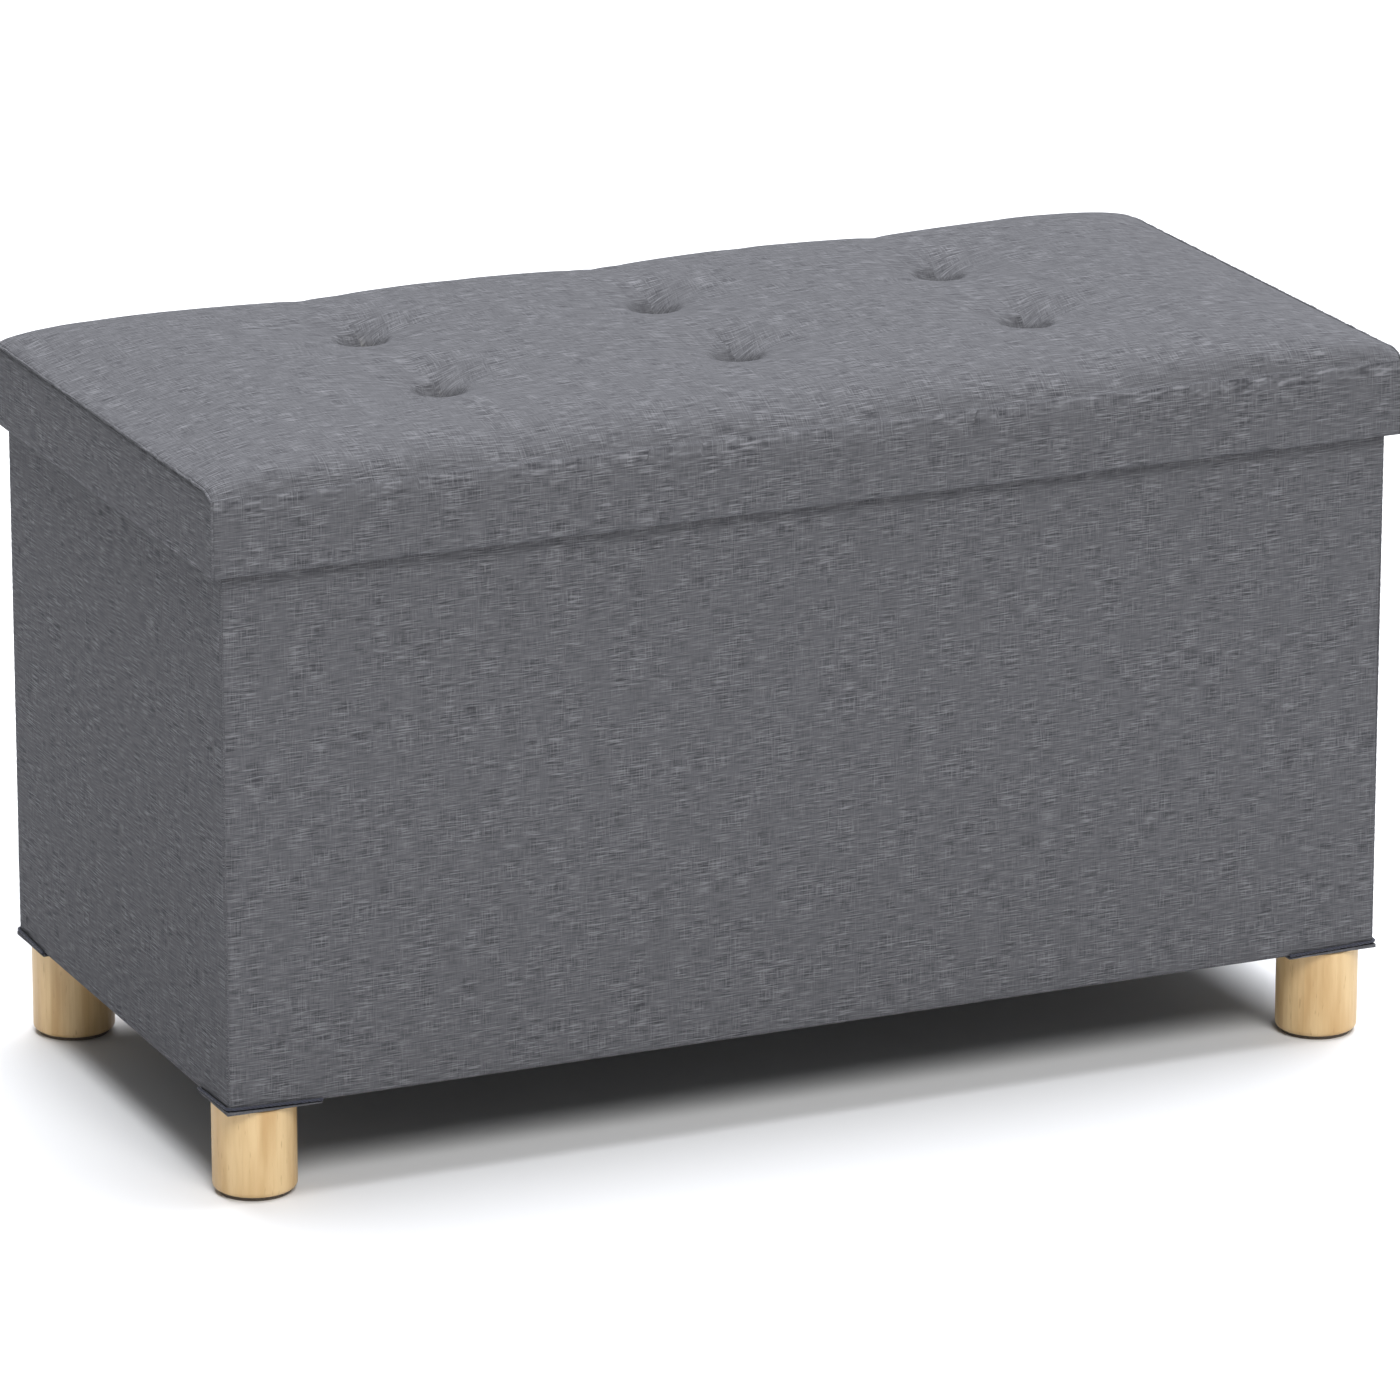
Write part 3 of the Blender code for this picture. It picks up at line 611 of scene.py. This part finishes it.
def gather_weave(mesh, rows, run):
    """Gives each tuft the extra cloth that lines its pit, so that the weave is less stretched there."""
    samples, eased_out = 20, PIT_REACH + 0.05
    radii = np.linspace(0.0, PIT_REACH, samples)
    depth = PIT_CLOTH_DEPTH * pit_share(radii)
    extra = np.cumsum(np.hypot(np.diff(radii), np.diff(depth)) - np.diff(radii))
    radii, extra = [0.0, *radii[1:], eased_out], [0.0, *extra, 0.0]
    level = [r for r, row in enumerate(rows) if row[1] == 1.0]
    layer = mesh.uv_layers["weave"].data
    places = np.empty(len(layer) * 2, np.float32)
    layer.foreach_get("uv", places)
    places = places.reshape(-1, 2)
    shifted = places.copy()
    for tuft in TUFTS:
        centre = np.array([tuft.x, np.interp(tuft.y, [rows[r][0] for r in level], run[level])])
        towards = places - centre
        away = np.linalg.norm(towards, axis=1, keepdims=True)
        shifted += towards / np.maximum(away, 1e-6) * np.interp(away, radii, extra)
    layer.foreach_set("uv", shifted.astype(np.float32).ravel())


def refine(obj):
    """Smooths the sheet's facets by one subdivision, applied to its mesh."""
    modifier = obj.modifiers.new("smooth", "SUBSURF")
    modifier.levels = modifier.render_levels = 1
    modifier.boundary_smooth = "PRESERVE_CORNERS"
    graph = bpy.context.evaluated_depsgraph_get()
    mesh = bpy.data.meshes.new_from_object(obj.evaluated_get(graph))
    obj.modifiers.remove(modifier)
    obj.data = mesh
    mesh.shade_smooth()


def add_lid_cover():
    """The main fabric: front, top and back in one piece, held at the seams and by the tufts.

    It returns the creased grid of its outer face, which the foam and the seams follow.
    """
    points, cut, held = main_fabric_points()
    mesh = grid_mesh("lid_cover", points, cut)
    obj = add_piece("lid_cover", mesh, FABRIC, "lid", ["lid_main_fabric"])
    inflate(obj, held)
    creased = crease(coordinates_of(obj.data)).reshape(points.shape)
    refine(obj)
    gather_weave(obj.data, profile_rows(), cut[0, :, 1])
    set_coordinates(obj.data, crease(coordinates_of(obj.data)))
    thicken(obj, CLOTH)
    return creased


def add_lid_pad(fabric):
    """The foam, whose top follows the fabric from just below it."""
    above_walls = [r for r, row in enumerate(profile_rows()) if not row[2]]
    top = fabric[1:-1, above_walls].copy()
    top[..., 2] -= CLOTH + PAD_GAP
    top[..., 0] *= (LID_X - PAD_INSET) / LID_X
    top[..., 1] *= (LID_Y - PAD_INSET) / LID_Y
    columns, count = top.shape[:2]
    shape = bmesh.new()
    upper = [[shape.verts.new(p) for p in column] for column in top]
    lower = [[shape.verts.new((p[0], p[1], FOAM_BOTTOM)) for p in column] for column in top]
    for layer in (upper, lower):
        for column, following in zip(layer, layer[1:]):
            for r in range(count - 1):
                shape.faces.new((column[r], following[r], following[r + 1], column[r + 1]))
    edge = [(c, 0) for c in range(columns)]
    edge += [(columns - 1, r) for r in range(1, count)]
    edge += [(c, count - 1) for c in range(columns - 2, -1, -1)]
    edge += [(0, r) for r in range(count - 2, 0, -1)]
    for (c, r), (c2, r2) in zip(edge, edge[1:] + edge[:1]):
        shape.faces.new((lower[c][r], lower[c2][r2], upper[c2][r2], upper[c][r]))
    bmesh.ops.recalc_face_normals(shape, faces=shape.faces)
    mesh = bpy.data.meshes.new("lid_pad")
    shape.to_mesh(mesh)
    shape.free()
    pad = add_piece("lid_pad", mesh, FOAM, "lid", ["lid_foam"])


def end_top(y):
    """Height of an end panel's upper edge, which turns down to the roll at the front and back."""
    turn = math.acos(max(0.0, 1 - (LID_Y - abs(y)) / ROLL))
    return ROLL_START + (SEAM_Z - ROLL_START) * math.sin(turn)


def end_face(side, y, z, half):
    """How far out an end panel's face is: slightly swollen, and puckered along its top and its sides."""
    pull = 0.006  # how far the seams' puckers reach into the panel
    near_seam = math.exp(-(SEAM_Z - z) / pull)
    near_side = math.exp(-(half - abs(y)) / pull)
    pucker = (0.0007 * near_seam + 0.0004 * near_side) * ripple(0, y, z, 150, 3.0 * side)
    slack = 0.0009 * ripple(0, y, z, 24, 7.0 * side) * (1 - near_seam)
    swell = 0.0012 * math.sin(math.pi * (z - LID_BOTTOM) / (SEAM_Z - LID_BOTTOM))
    return LID_X - 0.0006 + swell * 0.6 + pucker + slack * 0.5


def add_lid_end(name, side):
    """An end of the lid: a flat panel between the main fabric's edges, turned in at the bottom."""
    half = LID_Y - 0.0004
    height = SEAM_Z - LID_BOTTOM
    heights = np.array([*np.arange(LID_BOTTOM, SEAM_Z - 0.0015, 0.0035), SEAM_Z - 0.0003])
    points, cut = [], []
    for y in np.linspace(-half, half, 2 * round(half / STEP) + 1):
        column = [(side * (LID_X - END_TURN_IN), y * 0.985, LID_BOTTOM + 0.0006)]
        for z in LID_BOTTOM + (heights - LID_BOTTOM) * (end_top(y) - LID_BOTTOM) / height:
            column.append((side * end_face(side, y, z, half), y, z))
        points.append(column)
        cut.append([(y, z) for _, _, z in column])
    points, cut = np.array(points), np.array(cut)
    if side < 0:
        points, cut = points[::-1], cut[::-1]
    piece_name = "lid_end_" + name
    mesh = grid_mesh(piece_name, points, cut)
    obj = add_piece(piece_name, mesh, FABRIC, "lid", ["lid_side_fabric_" + name])
    thicken(obj, CLOTH)


def add_lid_seam(name, side, fabric):
    """The seam round an end of the lid: up the front corner, along the top and down the back corner."""
    edge = fabric[0 if side < 0 else -1]
    over = [Vector(edge[r]) for r, row in enumerate(profile_rows()) if not row[2]]
    step = 0.003
    up = [Vector((side * LID_X, over[0].y, z)) for z in np.arange(LID_BOTTOM, ROLL_START, step)]
    down = [Vector((side * LID_X, over[-1].y, z)) for z in np.arange(ROLL_START, LID_BOTTOM, -step)]
    add_seam("lid_seam_" + name, up + over + down, 0.0010, 4.0 * side, "lid")


def resample(path, step):
    """Points along a path, evenly spaced."""
    lengths = [0.0]
    for a, b in zip(path, path[1:]):
        lengths.append(lengths[-1] + (b - a).length)
    places = np.arange(0.0, lengths[-1], step)
    along = [np.interp(places, lengths, [point[axis] for point in path]) for axis in range(3)]
    return [Vector(place) for place in zip(*along)]


def add_seam(name, path, radius, seed, body):
    """A raised seam: the two layers' turned edges, gathered a little between the stitches."""
    step, stitch_length = 0.0016, 0.0046
    gathered = []
    for i, point in enumerate(resample(path, step)):
        gathered.append(point + Vector((0, 0, 0.0005 * ripple(i * step, 0, 0, 120, seed))))

    def radius_at(travelled):
        stitch = abs(math.sin(math.pi * travelled / stitch_length))
        return radius * (0.74 + 0.26 * stitch + 0.18 * ripple(travelled, 0, 0, 170, seed + 5))

    add_piece(name, tube_mesh(name, gathered, radius_at), FABRIC, body)


# ---- Box -----------------------------------------------------------------------------------------------


def perimeter(half_x, half_y, radius, step):
    """(point, outward direction, distance) round a rounded rectangle, starting at the front left corner."""
    found, travelled = [], 0.0
    corners = [(-1, -1, 180), (1, -1, 270), (1, 1, 0), (-1, 1, 90)]
    for index, (sx, sy, start) in enumerate(corners):
        centre = Vector((sx * (half_x - radius), sy * (half_y - radius)))
        for turn in (0, 22.5, 45, 67.5, 90):
            angle = math.radians(start + turn)
            out = Vector((math.cos(angle), math.sin(angle)))
            found.append((centre + out * radius, out))
        straight = 2 * (half_x - radius) if index % 2 == 0 else 2 * (half_y - radius)
        angle = math.radians(start + 90)
        out = Vector((math.cos(angle), math.sin(angle)))
        way = Vector((-out.y, out.x))
        begin = centre + out * radius
        count = round(straight / step)
        found += [(begin + way * straight * i / count, out) for i in range(1, count)]
    placed = []
    for i, (point, out) in enumerate(found):
        travelled += (point - found[i - 1][0]).length if i else 0.0
        placed.append((point, out, travelled))
    return placed


def box_slack(point, out, z):
    """How far the box's fabric stands off its panel at a point. It dips at the short walls' fold lines."""
    x, y = point
    on_short_wall = abs(out.x) > 0.7
    fold = math.exp(-((y / 0.0025) ** 2)) if on_short_wall else 0.0
    soft = 0.00055 * ripple(x, y, z, 13, 2.0) + 0.00028 * ripple(x, y, z, 42, 9.0)
    near_hem = math.exp(-(z - BODY_BOTTOM) / 0.010)
    return soft - 0.0006 * fold + 0.0004 * near_hem * ripple(x, y, z, 60, 4.0)


def box_cover_rows():
    """(distance in from the outer face, height) for each row of the box's fabric, from its hem up."""
    rows = [(BOX_HEM, BODY_BOTTOM + 0.0001), (BOX_FOLD, BODY_BOTTOM)]
    rows += [(BOX_FOLD * 0.3, BODY_BOTTOM + BOX_FOLD * 0.3), (0.0, BODY_BOTTOM + BOX_FOLD)]
    rows += [(0.0, float(z)) for z in np.arange(BODY_BOTTOM + 0.010, RIM_TOP - 0.006, 0.007)]
    rows += [(0.0, RIM_TOP - BOX_FOLD), (BOX_FOLD * 0.3, RIM_TOP - BOX_FOLD * 0.3)]
    return rows + [(BOX_FOLD, RIM_TOP), (BOX_RIM, RIM_TOP)]


def box_cover_place(point, out, inward, z):
    """Where the box's fabric is, from a point on the plain outline, for one of its rows."""
    depth = inward if inward > 0 else -box_slack(point, out, z)
    place = point - out * depth
    if inward > BOX_CORNER:
        # Inside the corner's radius the turned-in cloth follows a plain rectangle.
        x = max(-BODY_X + inward, min(place.x, BODY_X - inward))
        y = max(-BODY_Y + inward, min(place.y, BODY_Y - inward))
        place = Vector((x, y))
    return place.x, place.y, z


def add_box_cover():
    """The box's fabric: turned in under the walls, up all four sides and in over the rim."""
    ring = perimeter(BODY_X, BODY_Y, BOX_CORNER, 0.006)
    start, outward, _ = ring[0]
    ring.append((start, outward, ring[-1][2] + BOX_CORNER * math.pi / 8))
    rows = box_cover_rows()
    points, cut = [], []
    for point, out, travelled in ring:
        points.append([box_cover_place(point, out, inward, z) for inward, z in rows])
        cut.append([(travelled, z - inward) for inward, z in rows])
    mesh = grid_mesh("box_cover", np.array(points), np.array(cut))
    shape = bmesh.new()
    shape.from_mesh(mesh)
    bmesh.ops.remove_doubles(shape, verts=shape.verts, dist=0.00002)
    shape.to_mesh(mesh)
    shape.free()
    obj = add_piece("box_cover", mesh, FABRIC, "box", ["body_cover"])
    thicken(obj, CLOTH)


def add_box_seams():
    """The seam up each corner of the box's fabric."""
    for place, (sx, sy) in PLACES.items():
        inset = 0.0009
        x, y = sx * (BODY_X - inset), sy * (BODY_Y - inset)
        path = [Vector((x, y, float(z))) for z in np.arange(BODY_BOTTOM + 0.0015, RIM_TOP - 0.001, 0.004)]
        seed = 3.0 * sx + 5.0 * sy
        add_seam("box_seam_" + place, path, 0.0006, seed, "box")


def add_corner_trim(place):
    """The patch under a corner, with the tape that binds its lip."""
    sx, sy = PLACES[place]
    seed = 2.0 * sx + 7.0 * sy
    node = "corner_patch_" + place
    finish = ("patch_" + place, node, FABRIC, "box", "linen_fabric")
    soft_copy(*finish, wobble=0.00025, wave=70, step=0.006, seed=seed)
    low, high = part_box("corner_binding_" + place)
    out_x = max(abs(low.x), abs(high.x)) - TAPE_RADIUS
    out_y = max(abs(low.y), abs(high.y)) - TAPE_RADIUS
    in_x, in_y = min(abs(low.x), abs(high.x)), min(abs(low.y), abs(high.y))
    bend_x, bend_y = out_x - TAPE_BEND, out_y - TAPE_BEND
    bottom, top = low.z + TAPE_RADIUS, high.z - TAPE_RADIUS
    path = [Vector((sx * in_x, sy * out_y, bottom)), Vector((sx * bend_x, sy * out_y, top))]
    for turn in (15, 30, 45, 60, 75):
        angle = math.radians(turn)
        x, y = bend_x + TAPE_BEND * math.sin(angle), bend_y + TAPE_BEND * math.cos(angle)
        path.append(Vector((sx * x, sy * y, top)))
    path += [Vector((sx * out_x, sy * bend_y, top)), Vector((sx * out_x, sy * in_y, bottom))]

    def radius_at(travelled):
        stitch = 0.16 * math.sin(2 * math.pi * travelled / 0.0052)
        return TAPE_RADIUS * (1.0 + stitch + 0.2 * ripple(travelled, 0, 0, 120, seed))

    mesh = tube_mesh("tape_" + place, resample(path, 0.0012), radius_at)
    add_piece("tape_" + place, mesh, TAPE, "box", ["corner_binding_" + place])


def add_linings():
    for name, node, body, seed in (
        ("wall_lining", "inner_lining", "box", 1.0),
        ("floor_sleeve", "base_board_cover", "box", 5.0),
        ("lid_underside_lining", "lid_lining", "lid", 9.0),
    ):
        finish = (name, node, NON_WOVEN, body, "non_woven_lining")
        soft_copy(*finish, wobble=0.0002, wave=30, step=0.02, seed=seed)


def finish_cad_nodes():
    """Finishes on the CAD nodes that show as they are."""
    for name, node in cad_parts.items():
        if node.hide_render:
            continue
        if name.startswith(("leg_bolt", "leg_insert")):
            material, slot = ZINC, "zinc_steel"
        elif name.startswith("leg_glide"):
            material, slot = FELT, "felt"
        elif name.startswith("leg_"):
            material, slot = WOOD, "pale_wood"
        elif name.startswith("tuft_tie"):
            material, slot = TWINE, "twine"
        else:
            material, slot = BOARD, "fibreboard"
        node.data.materials.clear()
        node.data.materials.append(material)


# ---- Studio --------------------------------------------------------------------------------------------


def add_floor():
    mesh = bpy.data.meshes.new("floor")
    reach = 40.0
    corners = [(x * reach, y * reach, 0) for x, y in ((-1, -1), (1, -1), (1, 1), (-1, 1))]
    mesh.from_pydata(corners, [], [(0, 1, 2, 3)])
    floor = bpy.data.objects.new("floor", mesh)
    bpy.context.scene.collection.objects.link(floor)
    shader = Shader("studio_floor", 0.9)
    shader.colour((0.72, 0.72, 0.72))
    mesh.materials.append(shader.material)


def add_sun(name, azimuth, elevation, strength, spread, colour):
    """Even light from a direction: azimuth 0 comes from the front, and grows to the right."""
    light = bpy.data.lights.new(name, "SUN")
    light.energy, light.color = strength, colour
    light.angle = math.radians(spread)
    obj = bpy.data.objects.new(name, light)
    bpy.context.scene.collection.objects.link(obj)
    a, e = math.radians(azimuth), math.radians(elevation)
    towards = Vector((math.sin(a) * math.cos(e), -math.cos(a) * math.cos(e), math.sin(e)))
    obj.rotation_mode = "QUATERNION"
    obj.rotation_quaternion = (-towards).to_track_quat("-Z", "Y")


def light_studio():
    scene = bpy.context.scene
    scene.world = bpy.data.worlds.new("studio")
    scene.world.use_nodes = True
    background = scene.world.node_tree.nodes["Background"]
    background.inputs["Color"].default_value = (0.98, 0.99, 1.0, 1.0)
    background.inputs["Strength"].default_value = 0.25
    add_sun("overhead", azimuth=140, elevation=72, strength=5.4, spread=56, colour=(0.96, 0.98, 1.03))
    add_sun("key", azimuth=-4, elevation=48, strength=2.1, spread=26, colour=(1.0, 1.0, 1.0))
    scene.view_settings.view_transform = "Standard"


def add_camera():
    """Looks at the bench from its front left, with a long lens."""
    azimuth, elevation, distance = math.radians(-23.886), math.radians(17.288), 5.4575
    aim = Vector((0.0040, 0.0016, 0.2097))
    level = math.cos(elevation)
    back = Vector((math.sin(azimuth) * level, -math.cos(azimuth) * level, math.sin(elevation)))
    camera = bpy.data.objects.new("camera", bpy.data.cameras.new("camera"))
    bpy.context.scene.collection.objects.link(camera)
    camera.data.lens, camera.data.sensor_width = 231.7, 36.0
    camera.location = aim + back * distance
    camera.rotation_mode = "QUATERNION"
    camera.rotation_quaternion = (-back).to_track_quat("-Z", "Y")
    bpy.context.scene.camera = camera


fabric = add_lid_cover()
add_lid_pad(fabric)
for name, side in SIDES.items():
    add_lid_end(name, side)
    add_lid_seam(name, side, fabric)
add_box_cover()
add_box_seams()
for place in PLACES:
    add_corner_trim(place)
add_linings()
finish_cad_nodes()
add_floor()
light_studio()
add_camera()
